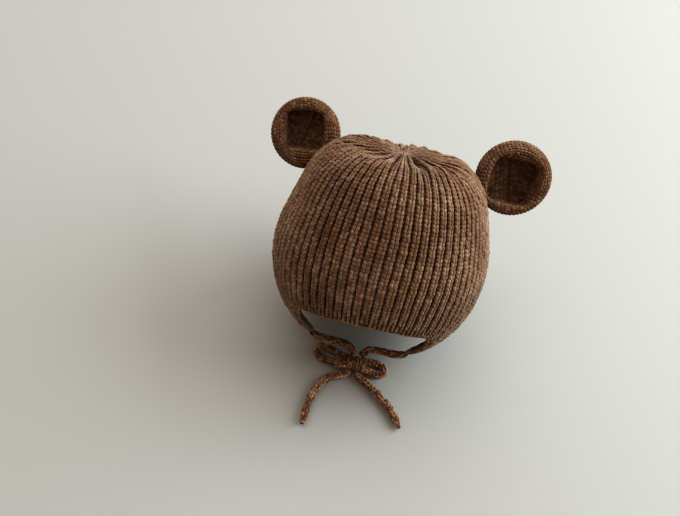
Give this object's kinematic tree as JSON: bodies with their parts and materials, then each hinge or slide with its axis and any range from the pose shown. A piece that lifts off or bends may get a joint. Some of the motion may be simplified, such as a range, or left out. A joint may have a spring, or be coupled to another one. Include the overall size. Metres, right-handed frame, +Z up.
{
  "type": "baby hat with ears",
  "caption": "Rib-knit baby hat with a gathered crown, ear flaps, two cupped bear ears and knitted ties joined in a bow under the chin.",
  "frame": {"origin": "top of the head that wears the hat, inside the crown, on the head's own upright line", "axes": "+Z up, the wearer's face toward -Y, +X from the left ear in the front view to the right one"},
  "size_m": [0.196, 0.1901, 0.1549],
  "materials": {
    "crown_wool": "matt brown rib-knit wool",
    "ear_wool": "matt brown knitted wool",
    "cord_wool": "matt brown knitted cord"
  },
  "bodies": {
    "root": {"crown": "crown_wool", "ear_left": "ear_wool", "ear_right": "ear_wool", "tie_left": "cord_wool", "tie_right": "cord_wool", "knot": "cord_wool", "bow_loop_left": "cord_wool", "bow_loop_right": "cord_wool", "tail_left": "cord_wool", "tail_right": "cord_wool"}
  },
  "joints": []
}
